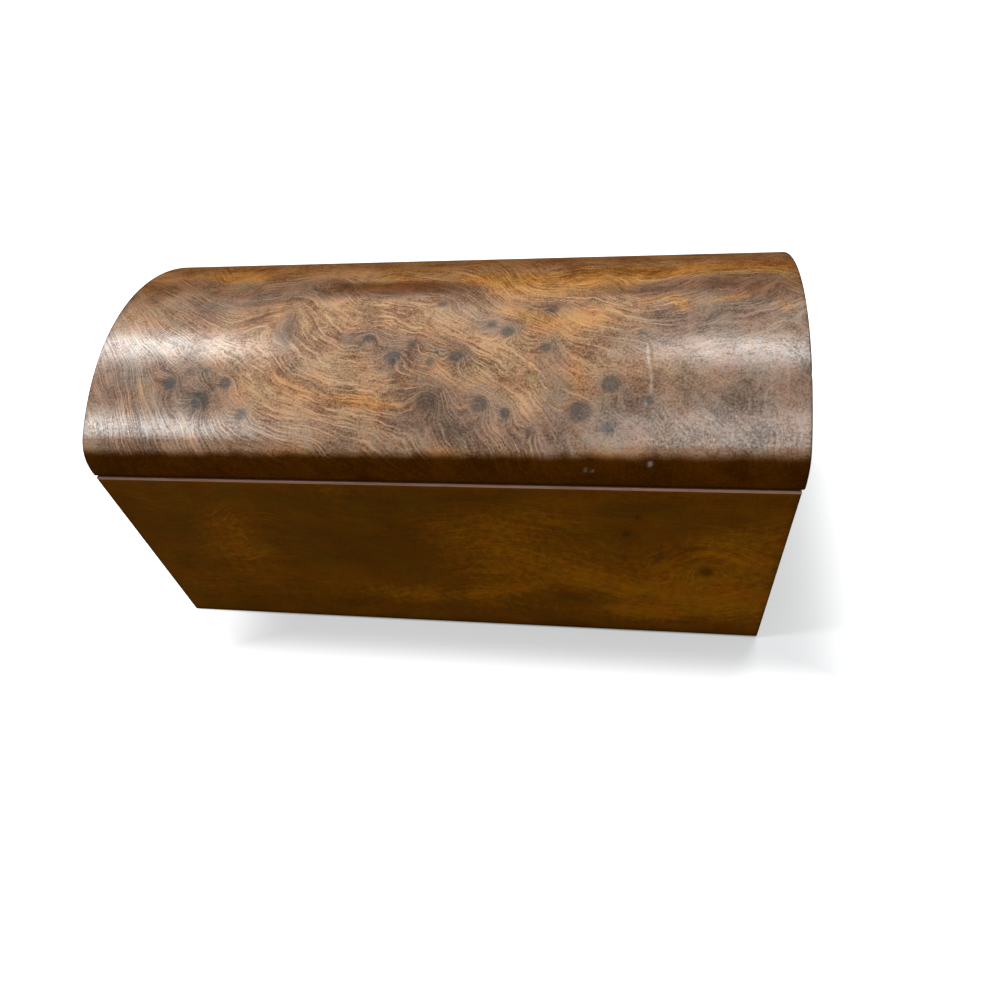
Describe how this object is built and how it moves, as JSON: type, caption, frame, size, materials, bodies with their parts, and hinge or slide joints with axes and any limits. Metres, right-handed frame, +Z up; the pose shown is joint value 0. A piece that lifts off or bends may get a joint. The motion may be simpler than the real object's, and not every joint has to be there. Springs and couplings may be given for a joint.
{
  "type": "dome lid keepsake box",
  "caption": "Rectangular burl-veneered wooden keepsake box with a one-piece domed lid hinged along the back, felt-lined, for papers and small keepsakes.",
  "frame": {"origin": "on the surface the box stands on, under the middle of its base", "axes": "+Z up, +X to the right along the front, the front faces -Y, the hinges are at +Y"},
  "size_m": [0.2004, 0.0966, 0.0922],
  "materials": {
    "oak_board": "planed and oiled",
    "base_veneer": "dark burl, satin varnish",
    "edging": "pinkish brown edging, satin varnish",
    "baize": "baize",
    "lining": "felt",
    "screws": "turned",
    "lid_board": "planed and oiled",
    "lid_veneer": "burl, satin varnish",
    "hinge_brass": "brushed",
    "pins": "drawn"
  },
  "bodies": {
    "base": {"front_wall": "oak_board", "back_wall": "oak_board", "left_wall": "oak_board", "right_wall": "oak_board", "bottom_board": "oak_board", "front_veneer": "base_veneer", "back_veneer": "base_veneer", "left_end_veneer": "base_veneer", "right_end_veneer": "base_veneer", "front_edging": "edging", "back_edging": "edging", "left_edging": "edging", "right_edging": "edging", "baize": "baize", "floor_lining": "lining", "base_hinge_screws": "screws", "left_hinge_base_leaf": "hinge_brass", "right_hinge_base_leaf": "hinge_brass", "left_hinge_pin": "pins", "right_hinge_pin": "pins"},
    "lid": {"lid_front_rail": "lid_board", "lid_back_rail": "lid_board", "lid_left_end_board": "lid_board", "lid_right_end_board": "lid_board", "lid_stave_1": "lid_board", "lid_stave_2": "lid_board", "lid_stave_3": "lid_board", "lid_stave_4": "lid_board", "lid_stave_5": "lid_board", "lid_stave_6": "lid_board", "lid_stave_7": "lid_board", "lid_stave_8": "lid_board", "lid_stave_9": "lid_board", "lid_dome_veneer": "lid_veneer", "lid_left_end_veneer": "lid_veneer", "lid_right_end_veneer": "lid_veneer", "lid_hinge_screws": "screws", "left_hinge_lid_leaf": "hinge_brass", "right_hinge_lid_leaf": "hinge_brass"}
  },
  "joints": [
    {"name": "lid_hinge", "type": "hinge", "parent": "base", "child": "lid", "pos_m": [0, 0.04585, 0.0696], "axis": [-1, 0, 0], "range_deg": [0, 100]}
  ]
}
